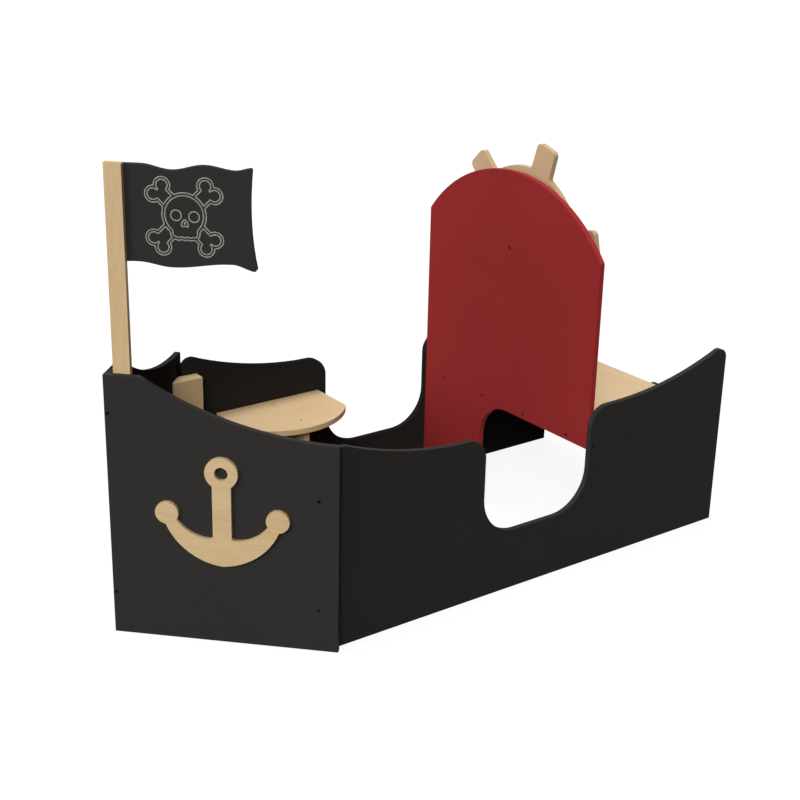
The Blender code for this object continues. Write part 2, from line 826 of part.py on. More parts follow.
def make_axle(helm):
    """Everything on the axle that stands still, from the head in the helm's front to the cap."""
    bore = AXLE_RADIUS + SEAM
    front = cross_frame(HELM_START, HUB_HEIGHT)
    spacer_top = -BOARD - SEAM
    spacer_end = spacer_top - SPACER_LENGTH
    washer_top = spacer_end - SEAM
    washer_end = washer_top - WASHER
    rear_top = washer_end - 2.0 * SEAM - BOARD
    rear_end = rear_top - WASHER
    nut_top = rear_end - SEAM
    nut_end = nut_top - NUT_LENGTH
    length = -nut_end - AXLE_SINK
    sizes = (AXLE_HEAD_RADIUS, AXLE_HEAD, AXLE_RADIUS, AXLE_SINK, length, AXLE_SIDES)
    headed_pin("axle_bolt", *sizes, front, DARK_STEEL_LOOK)
    axle_hole = headed_hole("axle_hole", *sizes, front)
    cut(helm, axle_hole)
    ring("wheel_spacer", bore, SPACER_RADIUS, spacer_top, spacer_end, AXLE_SIDES, front, PLASTIC_LOOK)
    ring("front_washer", bore, WASHER_RADIUS, washer_top, washer_end, AXLE_SIDES, front, STEEL_LOOK)
    ring("rear_washer", bore, WASHER_RADIUS, rear_top, rear_end, AXLE_SIDES, front, STEEL_LOOK)
    hexagon = [(0.0, nut_top), (NUT_RADIUS, nut_top), (NUT_RADIUS, nut_end), (0.0, nut_end)]
    nut = turned("lock_nut", hexagon, NUT_SIDES, front, STEEL_LOOK, PARTS)
    cut(nut, axle_hole)
    cap_seat = front @ Matrix.Translation((0.0, 0.0, nut_top)) @ Matrix.Rotation(math.pi, 4, "X")
    turned("axle_cap", cap_profile(), AXLE_SIDES, cap_seat, PLASTIC_LOOK, PARTS)


# Assembly


def both_sides(matrices):
    return matrices, [mirrored(matrix) for matrix in matrices]


def fasten_hull(bow_boards, side_boards, posts):
    frame = bow_frame()
    side = side_frame()
    stem = [on_face(frame, BOARD / 2, height, 0.0) for height in STEM_SCREW_HEIGHTS]
    fasten("stem", LONG_SCREW, stem, bow_boards)
    place = BOW_LENGTH - BOW_POST_SCREW_MARGIN
    places = [on_face(frame, place, height, 0.0) for height in BOW_POST_SCREW_HEIGHTS]
    for height in SIDE_POST_SCREW_HEIGHTS:
        places.append(on_face(side, SIDE_POST_SCREW_PLACE, height, SIDE_FACE))
    port, starboard = both_sides(places)
    fasten("port_corner", LONG_SCREW, port, (bow_boards[0], side_boards[0], posts[0]))
    fasten("starboard_corner", LONG_SCREW, starboard, (bow_boards[1], side_boards[1], posts[1]))


def fasten_helm_and_bench(side_boards, helm, bench, stern_leg):
    side = side_frame()
    height = BENCH_HEIGHT - BOARD / 2
    places = [on_face(side, HELM_START + BOARD / 2, height, SIDE_FACE)]
    fore, aft = BENCH_SIDE_SCREW_MARGINS
    for place in (HELM_BACK + fore, STERN_LEG_START - aft):
        places.append(on_face(side, place, height, SIDE_FACE))
    port, starboard = both_sides(places)
    fasten("port_hull", LONG_SCREW, port, (side_boards[0], helm, bench))
    fasten("starboard_hull", LONG_SCREW, starboard, (side_boards[1], helm, bench))
    front = cross_frame(HELM_START)
    outermost = INNER_REACH - HELM_SCREW_MARGIN
    across = []
    for index in range(HELM_SCREWS):
        place = outermost * (2.0 * index / (HELM_SCREWS - 1) - 1.0)
        across.append(on_face(front, place, height, 0.0))
    fasten("helm_bench", LONG_SCREW, across, (helm, bench))
    leg = cross_frame(STERN_LEG_START)
    leg_middle = STERN_LEG_START + BOARD / 2
    leg_screws = [on_face(side, leg_middle, low, SIDE_FACE) for low in STERN_SIDE_SCREW_HEIGHTS]
    for offset in STERN_BENCH_SCREW_OFFSETS:
        leg_screws.append(on_face(leg, INNER_REACH - offset, height, -BOARD, from_behind=True))
    fasten("stern_leg", LONG_SCREW, leg_screws, (side_boards[0], stern_leg, bench))


def fasten_table(side_board, table, support):
    plan = plan_frame()
    side = side_frame()
    down = []
    for offset in TABLE_SCREW_OFFSETS:
        down.append(on_face(plan, offset - SIDE_INNER_FACE, TABLE_MIDDLE, TABLE_HEIGHT))
    fasten("table", LONG_SCREW, down, (table, support), STEEL_LOOK)
    inward = [on_face(side, TABLE_MIDDLE, SUPPORT_SCREW_HEIGHT, SIDE_FACE)]
    for spread in (-TABLE_SIDE_SCREW_SPREAD, TABLE_SIDE_SCREW_SPREAD):
        inward.append(on_face(side, TABLE_MIDDLE + spread, TABLE_HEIGHT - BOARD / 2, SIDE_FACE))
    starboard = [mirrored(matrix) for matrix in inward]
    fasten("table_side", LONG_SCREW, starboard, (side_board, table, support))


def fasten_mast_and_flag(bow_board, mast, flag):
    frame = bow_frame()
    middle = MAST_START + MAST_WIDTH / 2
    mast_back = MAST_FACE - BOARD
    flag_back = FLAG_FACE - BOARD
    low = [on_face(frame, middle, height, mast_back, from_behind=True) for height in MAST_SCREW_HEIGHTS]
    fasten("mast", SHORT_SCREW, low, (mast, bow_board))
    high = []
    for drop in FLAG_SCREW_DROPS:
        high.append(on_face(frame, middle, MAST_HEIGHT - drop, flag_back, from_behind=True))
    fasten("flag", SHORT_SCREW, high, (flag, mast))


def fasten_anchors(bow_boards, anchors):
    frame = bow_frame()
    reach = ANCHOR_SCREW_REACH
    keel = Vector(ANCHOR_KEEL_CENTRE)
    crook = Vector(ANCHOR_CROOK_CENTRE)
    arm_foot = on_circle_at(keel, ANCHOR_KEEL_RADIUS, reach - keel.x)
    arm_top = on_circle_at(crook, ANCHOR_CROOK_RADIUS, reach - crook.x)
    arm = (arm_foot.y + arm_top.y) / 2
    places = []
    for across in (-reach, reach):
        places.append(on_face(frame, ANCHOR_MIDDLE + across, arm, -BOARD, from_behind=True))
    port, starboard = both_sides(places)
    fasten("port_anchor", ANCHOR_SCREW, port, (bow_boards[0], anchors[0]))
    fasten("starboard_anchor", ANCHOR_SCREW, starboard, (bow_boards[1], anchors[1]))


def main():
    bow_boards = make_bow_boards()
    side_boards = make_side_boards()
    posts = make_posts()
    helm = make_helm()
    bench = make_bench()
    stern_leg = make_stern_leg()
    table, support = make_table()
    mast = make_mast()
    flag = make_flag()
    anchors = make_anchors()
    make_wheel()
    make_axle(helm)
    fasten_hull(bow_boards, side_boards, posts)
    fasten_helm_and_bench(side_boards, helm, bench, stern_leg)
    fasten_table(side_boards[1], table, support)
    fasten_mast_and_flag(bow_boards[0], mast, flag)
    fasten_anchors(bow_boards, anchors)


clear_scene()
PARTS = new_collection("play_boat")
CUTTERS = new_collection("cutters")
BLACK_LOOK = material("black_board", BLACK, 0.55)
RED_LOOK = material("red_board", RED, 0.50)
WOOD_LOOK = material("birch_plywood", WOOD, 0.60)
STEEL_LOOK = material("zinc_steel", STEEL, 0.40, 0.9)
DARK_STEEL_LOOK = material("dark_steel", DARK_STEEL, 0.45, 0.9)
PLASTIC_LOOK = material("dark_plastic", DARK_PLASTIC, 0.45)
main()
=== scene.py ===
"""Looks of the pirate play boat: materials, rounded edges, screws, the flag's emblem, light and camera.

X points to port, Y aft and Z up, in metres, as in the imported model.
"""

import math

import bmesh
import bpy
import numpy as np
from mathutils import Matrix, Vector


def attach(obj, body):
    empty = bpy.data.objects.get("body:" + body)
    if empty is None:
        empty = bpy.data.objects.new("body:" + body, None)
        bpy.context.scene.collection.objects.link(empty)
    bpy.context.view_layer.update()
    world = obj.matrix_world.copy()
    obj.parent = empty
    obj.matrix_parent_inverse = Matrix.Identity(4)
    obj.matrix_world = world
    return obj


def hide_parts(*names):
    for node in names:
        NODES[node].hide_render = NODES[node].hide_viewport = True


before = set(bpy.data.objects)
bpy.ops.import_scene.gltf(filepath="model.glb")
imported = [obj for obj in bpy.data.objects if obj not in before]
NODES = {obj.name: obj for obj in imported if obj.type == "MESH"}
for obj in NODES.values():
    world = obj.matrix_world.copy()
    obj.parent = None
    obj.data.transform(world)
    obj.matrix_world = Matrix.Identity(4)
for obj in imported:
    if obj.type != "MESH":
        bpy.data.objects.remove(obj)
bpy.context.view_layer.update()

# Camera, as solved from the boat's right angles
CAMERA_PLACE = (3.4833, -2.6031, 2.1776)
CAMERA_LENS = 67.125
SENSOR = 36.0
CAMERA_YAW = 53.243
CAMERA_PITCH = 21.102
CAMERA_ROLL = 1.374

# Light: each lamp has a direction towards it, the light it gives a surface that faces it, and its
# width in degrees. The last two are for the faces that look to starboard and aft.
LAMPS = {
    "overhead": ((-0.21, -0.05, 1.0), 0.54, 36.0),
    "key": ((0.728, -0.686, 0.70), 0.525, 25.0),
    "bow": ((0.1, -1.0, 0.42), 0.375, 30.0),
    "starboard": ((-1.0, 0.0, 0.10), 0.30, 10.0),
    "aft": ((0.0, 1.0, 0.10), 0.25, 10.0),
}
AMBIENT = 0.05

# Floor: how much light it returns to the boat, and how it looks where it is seen directly
FLOOR_REACH = 40.0
FLOOR_DROP = 0.0005
FLOOR_RETURN = 0.16
FLOOR_PAPER = 0.15
FLOOR_GLOW = 0.90

# Axes, the place of the stem's foot, the boards' thickness and the seams between boards
PORT = Vector((1.0, 0.0, 0.0))
AFT = Vector((0.0, 1.0, 0.0))
UP = Vector((0.0, 0.0, 1.0))
BOW_PORT = Vector((1.0, 1.0, 0.0)).normalized()
BOW_STARBOARD = Vector((-1.0, 1.0, 0.0)).normalized()
STEM = Vector((0.0, -1.0, 0.0))
BOARD = 0.018
SEAM = 0.0003


def linear(channel):
    value = channel / 255.0
    if value <= 0.04045:
        return value / 12.92
    return ((value + 0.055) / 1.055) ** 2.4


def rgba(colour, share=1.0):
    return (*(share * linear(channel) for channel in colour), 1.0)


def grey(level):
    return (level, level, level, 1.0)


# Node materials


class Look:
    """A node material under construction; the methods from math on add nodes and give an output."""

    def __init__(self, name):
        self.material = bpy.data.materials.new(name)
        self.material.use_nodes = True
        self.tree = self.material.node_tree
        self.shader = self.tree.nodes["Principled BSDF"]

    def add(self, kind, inputs=(), **settings):
        node = self.tree.nodes.new(kind)
        for key, value in settings.items():
            setattr(node, key, value)
        for key, value in dict(inputs).items():
            self.feed(node.inputs[key], value)
        return node

    def feed(self, socket, value):
        if isinstance(value, bpy.types.NodeSocket):
            self.tree.links.new(value, socket)
        else:
            socket.default_value = value

    def set(self, **values):
        for key, value in values.items():
            self.feed(self.shader.inputs[key.replace("_", " ")], value)

    def math(self, operation, *values):
        return self.add("ShaderNodeMath", dict(enumerate(values)), operation=operation).outputs[0]

    def dot(self, vector, axis):
        inputs = {0: vector, 1: tuple(axis)}
        return self.add("ShaderNodeVectorMath", inputs, operation="DOT_PRODUCT").outputs["Value"]

    def stretched(self, vector, scale):
        inputs = {0: vector, 1: scale}
        return self.add("ShaderNodeVectorMath", inputs, operation="MULTIPLY").outputs[0]

    def noise(self, vector, scale=1.0, detail=2.0, roughness=0.5, distortion=0.0):
        inputs = {
            "Vector": vector,
            "Scale": scale,
            "Detail": detail,
            "Roughness": roughness,
            "Distortion": distortion,
        }
        return self.add("ShaderNodeTexNoise", inputs).outputs[0]

    def step(self, value, low, high, start=0.0, end=1.0):
        """Eases from start to end while the value goes from low to high."""
        inputs = {"Value": value, "From Min": low, "From Max": high, "To Min": start, "To Max": end}
        node = self.add("ShaderNodeMapRange", inputs, interpolation_type="SMOOTHSTEP")
        return node.outputs["Result"]

    def mix(self, share, first, second, blend="MIX"):
        """A mix of two colours; 6 and 7 are the node's colour inputs, and 2 is its colour output."""
        inputs = {0: share, 6: first, 7: second}
        return self.add("ShaderNodeMix", inputs, data_type="RGBA", blend_type=blend).outputs[2]

    def multiplied(self, share, tint, factor):
        return self.mix(share, tint, factor, blend="MULTIPLY")

    def bump(self, height, strength, distance):
        inputs = {"Height": height, "Strength": strength, "Distance": distance}
        return self.add("ShaderNodeBump", inputs).outputs[0]

    def board_axes(self, along, across, shift):
        """The place in a board's own axes, and how squarely the surface faces out of the board.

        The shift moves the place along the board, so that boards of one kind differ in their grain.
        """
        out = along.cross(across).normalized()
        coordinates = self.add("ShaderNodeTexCoord")
        place = coordinates.outputs["Object"]
        inputs = {"X": self.math("ADD", self.dot(place, along), shift)}
        inputs["Y"] = self.dot(place, across)
        inputs["Z"] = self.dot(place, out)
        own = self.add("ShaderNodeCombineXYZ", inputs).outputs[0]
        facing = self.math("ABSOLUTE", self.dot(coordinates.outputs["Normal"], out))
        return own, facing

    def edges(self, facing, most=1.0):
        """The most on the board's edges, and 0 on its faces."""
        return self.step(facing, 0.35, 0.65, most, 0.0)

    def arrises(self, facing):
        """1 on the rounded corner between a face and an edge."""
        return self.math("MULTIPLY", self.step(facing, 0.02, 0.30), self.step(facing, 0.80, 0.99, 1.0, 0.0))

    def ends(self, along):
        """1 where the surface is sawn square across the board's length."""
        normal = self.add("ShaderNodeTexCoord").outputs["Normal"]
        return self.step(self.math("ABSOLUTE", self.dot(normal, along)), 0.35, 0.70)


# Wood: colours as 8-bit screen values, the end grain's share of them, which darkens the posts' tops partly
# as painted shade, and the plies' thickness

WOOD_PALE = (225, 198, 156)
WOOD_MIDDLE = (216, 187, 143)
WOOD_DARK = (199, 167, 121)
WOOD_FLECK = (176, 139, 95)
PLY_PALE = (212, 184, 142)
PLY_DARK = (178, 147, 106)
END_GRAIN_AND_SHADE = 0.77
PLY = 0.0028
PLY_WANDER = 0.0004


def wood(name, along, across, shift=0.0, plies=True, tone=(1.0, 1.0, 1.0), rim=1.0):
    """Pale lacquered wood with its grain along one axis, arrises lightened as a painted highlight, and
    plies or darker end grain, which is partly painted shade.

    The tone multiplies the whole colour, and rim multiplies the edges of a board with plies.
    """
    look = Look(name)
    own, facing = look.board_axes(along, across, shift)
    drift = look.noise(look.stretched(own, (1.3, 7.0, 7.0)), detail=3.0)
    figure = look.noise(look.stretched(own, (0.8, 9.0, 9.0)), detail=2.0, distortion=0.4)
    rings = look.math("SINE", look.math("MULTIPLY", figure, 70.0))
    fibre = look.noise(look.stretched(own, (12.0, 380.0, 380.0)), detail=4.0, roughness=0.6)
    fleck = look.noise(look.stretched(own, (75.0, 1000.0, 1000.0)), detail=1.0)
    tint = look.mix(look.step(drift, 0.30, 0.70), rgba(WOOD_MIDDLE), rgba(WOOD_PALE))
    tint = look.mix(look.step(rings, 0.1, 1.0, 0.0, 0.12), tint, rgba(WOOD_DARK))
    tint = look.mix(look.step(fibre, 0.42, 0.72, 0.0, 0.35), tint, rgba(WOOD_DARK))
    tint = look.mix(look.step(fleck, 0.66, 0.74, 0.0, 0.45), tint, rgba(WOOD_FLECK))
    if plies:
        depth = look.add("ShaderNodeSeparateXYZ", {0: own}).outputs["Z"]
        wander = look.math("MULTIPLY", look.noise(own, scale=9.0, detail=1.0), PLY_WANDER)
        layer = look.math("SINE", look.math("MULTIPLY", look.math("ADD", depth, wander), math.tau / PLY))
        rough = look.noise(own, scale=500.0, detail=2.0)
        ply = look.mix(look.step(layer, -0.35, 0.35), rgba(PLY_PALE), rgba(PLY_DARK))
        ply = look.mix(look.step(rough, 0.45, 0.75, 0.0, 0.3), ply, rgba(WOOD_FLECK))
        tint = look.mix(look.edges(facing, 0.62), tint, ply)
        tint = look.multiplied(look.edges(facing), tint, grey(rim))
    # Painted highlight: the rounded arrises are lightened towards the pale wood colour, as where they catch
    # the light.
    tint = look.mix(look.math("MULTIPLY", look.arrises(facing), 0.35), tint, rgba(WOOD_PALE))
    if not plies:
        # Darker end grain: real end grain is darker, and on the posts this also paints the shade on their
        # tops.
        tint = look.multiplied(look.ends(along), tint, grey(END_GRAIN_AND_SHADE))
    tint = look.multiplied(1.0, tint, (*tone, 1.0))
    gloss = look.math("ADD", look.math("MULTIPLY", fibre, 0.16), look.math("MULTIPLY", drift, 0.12))
    height = look.math("ADD", look.math("MULTIPLY", fibre, 0.7), look.math("MULTIPLY", rings, 0.05))
    look.set(
        Base_Color=tint,
        Roughness=look.math("ADD", gloss, 0.36),
        Specular_IOR_Level=0.15,
        Normal=look.bump(height, 0.22, 0.0006),
    )
    return look.material


# The share of a face's colour that its darker clouds have
CLOUD_SHADE = 0.95


def faced_board(name, along, across, face, edge, worn, specular, end=None):
    """A coloured board with a fine pebbled face, its own tone on the edges and arrises in the worn colour,
    which on the black and red boards is lighter: rubbing wear and a painted highlight.

    An end colour, where one is given, goes on what is sawn square across the board; the port bow board's is
    a painted shadow, near black as where that end lies in shade.
    """
    look = Look(name)
    own, facing = look.board_axes(along, across, 0.0)
    cloud = look.noise(own, scale=4.5, detail=3.0)
    pebble = look.noise(own, scale=420.0, detail=2.0)
    dust = look.noise(own, scale=1500.0, detail=1.0)
    brushed = look.noise(look.stretched(own, (30.0, 900.0, 900.0)), detail=2.0)
    scuff = look.noise(look.stretched(own, (9.0, 130.0, 130.0)), detail=5.0, roughness=0.7, distortion=0.6)
    tint = look.mix(look.step(cloud, 0.30, 0.70), rgba(face, CLOUD_SHADE), rgba(face))
    cut = look.mix(look.step(brushed, 0.35, 0.70, 0.0, 0.5), rgba(edge), rgba(face))
    tint = look.mix(look.edges(facing), tint, cut)
    tint = look.mix(look.step(dust, 0.66, 0.76, 0.0, 0.30), tint, rgba(worn))
    tint = look.mix(look.step(scuff, 0.70, 0.80, 0.0, 0.16), tint, rgba(worn))
    # The arrises take the worn colour in patches: rubbing wear, and on the black and red boards also a
    # painted highlight where they catch the light.
    rubbing_and_sheen = look.step(look.noise(own, scale=60.0, detail=3.0), 0.30, 0.65, 0.15, 0.65)
    tint = look.mix(look.math("MULTIPLY", look.arrises(facing), rubbing_and_sheen), tint, rgba(worn))
    # Painted shadow: where an end colour is given, the sawn ends are darkened as if they lay in shade.
    if end:
        tint = look.mix(look.ends(along), tint, rgba(end))
    gloss = look.math("ADD", look.math("MULTIPLY", cloud, 0.10), look.math("MULTIPLY", scuff, 0.16))
    look.set(
        Base_Color=tint,
        Roughness=look.math("ADD", gloss, 0.42),
        Specular_IOR_Level=specular,
        Normal=look.bump(look.math("ADD", pebble, look.math("MULTIPLY", brushed, 0.3)), 0.10, 0.0005),
    )
    return look.material


def metal(name, bright, dull, shine):
    """Steel with a cloudy finish, fine turning marks and duller patches."""
    look = Look(name)
    place = look.add("ShaderNodeTexCoord").outputs["Object"]
    cloud = look.noise(place, scale=260.0, detail=4.0)
    marks = look.noise(look.stretched(place, (900.0, 900.0, 4200.0)), detail=2.0)
    tint = look.mix(look.step(cloud, 0.35, 0.68), rgba(dull), rgba(bright))
    look.set(
        Base_Color=tint,
        Metallic=1.0,
        Roughness=look.math("ADD", look.math("MULTIPLY", cloud, 0.22), shine),
        Normal=look.bump(marks, 0.15, 0.0002),
    )
    return look.material


def plastic(name, colour, worn):
    """Moulded plastic with a fine spark-eroded texture."""
    look = Look(name)
    place = look.add("ShaderNodeTexCoord").outputs["Object"]
    grain = look.noise(place, scale=1300.0, detail=2.0)
    cloud = look.noise(place, scale=45.0, detail=3.0)
    look.set(
        Base_Color=look.mix(look.step(cloud, 0.35, 0.75, 0.0, 0.4), rgba(colour), rgba(worn)),
        Roughness=look.math("ADD", look.math("MULTIPLY", grain, 0.18), 0.36),
        Specular_IOR_Level=0.35,
        Normal=look.bump(grain, 0.25, 0.0002),
    )
    return look.material


def line_paint(name, colour, thin):
    """The emblem's pale line, slightly uneven, as where a face is cut through to a light core."""
    look = Look(name)
    place = look.add("ShaderNodeTexCoord").outputs["Object"]
    uneven = look.noise(place, scale=190.0, detail=4.0)
    grit = look.noise(place, scale=1600.0, detail=2.0)
    look.set(
        Base_Color=look.mix(look.step(uneven, 0.35, 0.70), rgba(thin), rgba(colour)),
        Roughness=look.math("ADD", look.math("MULTIPLY", grit, 0.2), 0.55),
        Specular_IOR_Level=0.15,
        Normal=look.bump(grit, 0.3, 0.0003),
    )
    return look.material


# Faced boards: colours as 8-bit screen values, the shaded ones for the starboard boards and the flag's
# edges: darker copies of the black that are painted shade

BLACK = (53, 51, 49)
# Painted shade: the port side board's face is a darker copy of the black, standing in for the lesser light
# that face gets.
SIDE_BLACK_SHADED = (50, 48, 46)
BLACK_EDGE = (54, 52, 50)
# The worn colour of the black boards is dust and scuffs, and on the arrises also a painted highlight.
BLACK_WEAR_AND_SHEEN = (66, 64, 61)
# Painted shadow: near black for the port bow board's sawn end, which lies in shade.
BLACK_END_SHADOW = (9, 9, 8)
# Painted shade: darker copies of the black for the starboard boards and the flag's edges, standing in for
# the shade these get.
SHADED_BLACK = (46, 44, 42)
SHADED_BLACK_EDGE = (34, 32, 31)
SHADED_BLACK_WORN = (42, 40, 38)
RED = (155, 48, 48)
RED_EDGE = (174, 52, 56)
# The worn colour of the red board is dust and scuffs, and on the arrises also a painted highlight.
RED_WEAR_AND_SHEEN = (178, 60, 62)


def black(name, along, across, face=BLACK, edge=BLACK_EDGE, worn=BLACK_WEAR_AND_SHEEN, specular=0.02, end=None):
    return faced_board(name, along, across, face, edge, worn, specular, end)


# Tones of the wooden boards that come in pairs
ANCHOR_TONE = (0.98, 0.965, 0.94)
POST_TONE = (1.12, 1.12, 1.13)

BOARD_LOOKS = {
    "port_bow_board": black("black_bow_port", BOW_PORT, UP, end=BLACK_END_SHADOW),
    "starboard_bow_board": black("black_bow_starboard", BOW_STARBOARD, UP, SHADED_BLACK, specular=0.0),
    "starboard_side_board": black("black_side_starboard", AFT, UP, SHADED_BLACK, SHADED_BLACK_EDGE, SHADED_BLACK_WORN, 0.0),
    "port_side_board": black("black_side_port", AFT, UP, SIDE_BLACK_SHADED),
    "stern_leg": black("black_leg", UP, PORT),
    "flag": black("black_flag", BOW_PORT, UP, BLACK, SHADED_BLACK_EDGE, SHADED_BLACK_WORN),
    "helm_board": faced_board("red_helm", UP, PORT, RED, RED_EDGE, RED_WEAR_AND_SHEEN, 0.02),
    "bench_board": wood("wood_bench", PORT, AFT, 0.3, tone=(1.07, 1.07, 1.08)),
    "table_top": wood("wood_table", AFT, PORT, 1.7, tone=(1.04, 1.035, 1.045), rim=1.32),
    "table_support": wood("wood_support", UP, PORT, 2.9, tone=(1.20, 1.12, 1.10)),
    "mast": wood("wood_mast", UP, BOW_PORT, 4.1, tone=(0.975, 0.96, 0.93)),
    "port_anchor": wood("wood_anchor_port", BOW_PORT, UP, 5.3, tone=ANCHOR_TONE),
    "starboard_anchor": wood("wood_anchor_starboard", BOW_STARBOARD, UP, 6.6, tone=ANCHOR_TONE),
    "port_corner_post": wood("wood_post_port", UP, PORT, 7.2, plies=False, tone=POST_TONE),
    "starboard_corner_post": wood("wood_post_starboard", UP, PORT, 8.9, plies=False, tone=POST_TONE),
    "steering_wheel": wood("wood_wheel", PORT, UP, 9.4, tone=(0.94, 0.90, 0.96), rim=1.15),
}

# Widths of the rounded arrises: these boards' own, every other board's, and the small pieces'
BOARD_ARRIS = {"steering_wheel": 0.0025, "table_top": 0.0018, "bench_board": 0.0018}
PLAIN_ARRIS = 0.0012
SMALL_ARRIS = 0.0004

PLATED = metal("plated_steel", (168, 168, 170), (128, 128, 131), 0.25)
TARNISHED = metal("tarnished_steel", (190, 164, 138), (160, 134, 108), 0.40)
# Painted shade: the screws in the black and red boards are near-black steel, which stands in for the shade
# in their sunk holes.
SHADE_BLACK_STEEL = metal("near_black_steel_as_hole_shade", (26, 25, 25), (14, 14, 14), 0.35)
BROWNED = metal("browned_steel", (64, 20, 18), (40, 10, 9), 0.45)
MOULDED = plastic("moulded_plastic", (38, 38, 40), (52, 52, 54))
EMBLEM_LINE = line_paint("emblem_line", (171, 168, 165), (144, 141, 138))


# Carried-over nodes: welded, flat faces joined, arrises rounded

WELD_DISTANCE = 0.00001
FLAT_WITHIN = math.radians(0.3)
ARRIS_FROM = math.radians(35.0)
ARRIS_STEPS = 3


def smoothing_group():
    """A modifier group that welds the imported triangles and lets their normals follow the shape."""
    group = bpy.data.node_groups.new("welded_and_smooth", "GeometryNodeTree")
    for way in ("INPUT", "OUTPUT"):
        group.interface.new_socket("Geometry", in_out=way, socket_type="NodeSocketGeometry")
    last = group.nodes.new("NodeGroupInput").outputs[0]
    for attribute in ("custom_normal", "sharp_edge"):
        drop = group.nodes.new("GeometryNodeRemoveAttribute")
        drop.inputs["Name"].default_value = attribute
        group.links.new(last, drop.inputs[0])
        last = drop.outputs[0]
    weld = group.nodes.new("GeometryNodeMergeByDistance")
    weld.inputs["Distance"].default_value = WELD_DISTANCE
    group.links.new(last, weld.inputs["Geometry"])
    smooth = group.nodes.new("GeometryNodeSetShadeSmooth")
    group.links.new(weld.outputs[0], smooth.inputs["Geometry"])
    group.links.new(smooth.outputs[0], group.nodes.new("NodeGroupOutput").inputs[0])
    return group


SMOOTHING = smoothing_group()


def dress(name, material, arris):
    node = NODES[name]
    node.data.materials.clear()
    node.data.materials.append(material)
    node.modifiers.new("Weld", "NODES").node_group = SMOOTHING
    flat = node.modifiers.new("Flat faces", "DECIMATE")
    flat.decimate_type = "DISSOLVE"
    flat.angle_limit = FLAT_WITHIN
    edge = node.modifiers.new("Arris", "BEVEL")
    edge.width = arris
    edge.segments = ARRIS_STEPS
    edge.limit_method = "ANGLE"
    edge.angle_limit = ARRIS_FROM
    node.modifiers.new("Normals", "WEIGHTED_NORMAL")


for board_name, board_look in BOARD_LOOKS.items():
    dress(board_name, board_look, BOARD_ARRIS.get(board_name, PLAIN_ARRIS))
for small_name, small_look in {
    "wheel_bush": MOULDED,
    "wheel_spacer": MOULDED,
    "axle_cap": MOULDED,
    "front_washer": PLATED,
    "rear_washer": PLATED,
    "lock_nut": PLATED,
    "axle_bolt": BROWNED,
}.items():
    dress(small_name, small_look, SMALL_ARRIS)


# Screws: a flat head with rounded rims and a hexagon socket, on a threaded shank

SCREW_SIDES = 48
HEAD_RADIUS = 0.0048
HEAD_HEIGHT = 0.0040
RIM_WIDTH = 0.0009
UNDERCUT = 0.0006
SOCKET_RADIUS = 0.0023
SOCKET_DEPTH = 0.0021
SOCKET_CHAMFER = 1.10
SHANK_RADIUS = 0.0025
THREAD_ROOT = 0.0019
THREAD_PITCH = 0.0016
THREAD_ROOT_PLACE = 0.35
THREAD_START = 0.0080
POINT_LENGTH = 0.0040
POINT_RADIUS = 0.0008
SCREW_SHARP_FROM = math.radians(32.0)


def screw_profile(length):
    """Radii and heights from the rim of the socket round the head and down to the point."""
    profile = [
        (SOCKET_RADIUS * SOCKET_CHAMFER, 0.0),
        (HEAD_RADIUS - RIM_WIDTH, 0.0),
        (HEAD_RADIUS - RIM_WIDTH / 3, -RIM_WIDTH / 3),
        (HEAD_RADIUS, -RIM_WIDTH),
        (HEAD_RADIUS, UNDERCUT - HEAD_HEIGHT),
        (HEAD_RADIUS - UNDERCUT, -HEAD_HEIGHT),
        (SHANK_RADIUS, -HEAD_HEIGHT),
        (SHANK_RADIUS, -THREAD_START),
    ]
    depth = -THREAD_START
    for _ in range(int((length - THREAD_START - POINT_LENGTH) / THREAD_PITCH)):
        profile.append((THREAD_ROOT, depth - THREAD_ROOT_PLACE * THREAD_PITCH))
        profile.append((SHANK_RADIUS, depth - THREAD_PITCH))
        depth -= THREAD_PITCH
    profile.append((POINT_RADIUS, -length))
    return profile


def round_reach(radius):
    return lambda angle: radius


def hexagon_reach(angle):
    """The distance from the screw's axis to the socket's wall."""
    within = (angle + math.pi / 6) % (math.pi / 3) - math.pi / 6
    return SOCKET_RADIUS * math.cos(math.pi / 6) / math.cos(within)


def screw_mesh(length):
    """A screw whose head's top lies at the origin and whose shank points down."""
    levels = [(hexagon_reach, -SOCKET_DEPTH), (hexagon_reach, 0.0)]
    levels += [(round_reach(radius), height) for radius, height in screw_profile(length)]
    shell = bmesh.new()
    rings = []
    for reach, height in levels:
        ring = []
        for side in range(SCREW_SIDES):
            angle = math.tau * side / SCREW_SIDES
            radius = reach(angle)
            ring.append(shell.verts.new((radius * math.cos(angle), radius * math.sin(angle), height)))
        rings.append(ring)
    for upper, lower in zip(rings, rings[1:]):
        for side in range(SCREW_SIDES):
            after = (side + 1) % SCREW_SIDES
            shell.faces.new((upper[side], upper[after], lower[after], lower[side]))
    shell.faces.new(rings[0][::-1])
    shell.faces.new(rings[-1])
    bmesh.ops.recalc_face_normals(shell, faces=shell.faces)
    mesh = bpy.data.meshes.new(f"screw_{round(1000 * length)}")
    shell.to_mesh(mesh)
    shell.free()
    mesh.shade_smooth()
    mesh.set_sharp_from_angle(angle=SCREW_SHARP_FROM)
    return mesh


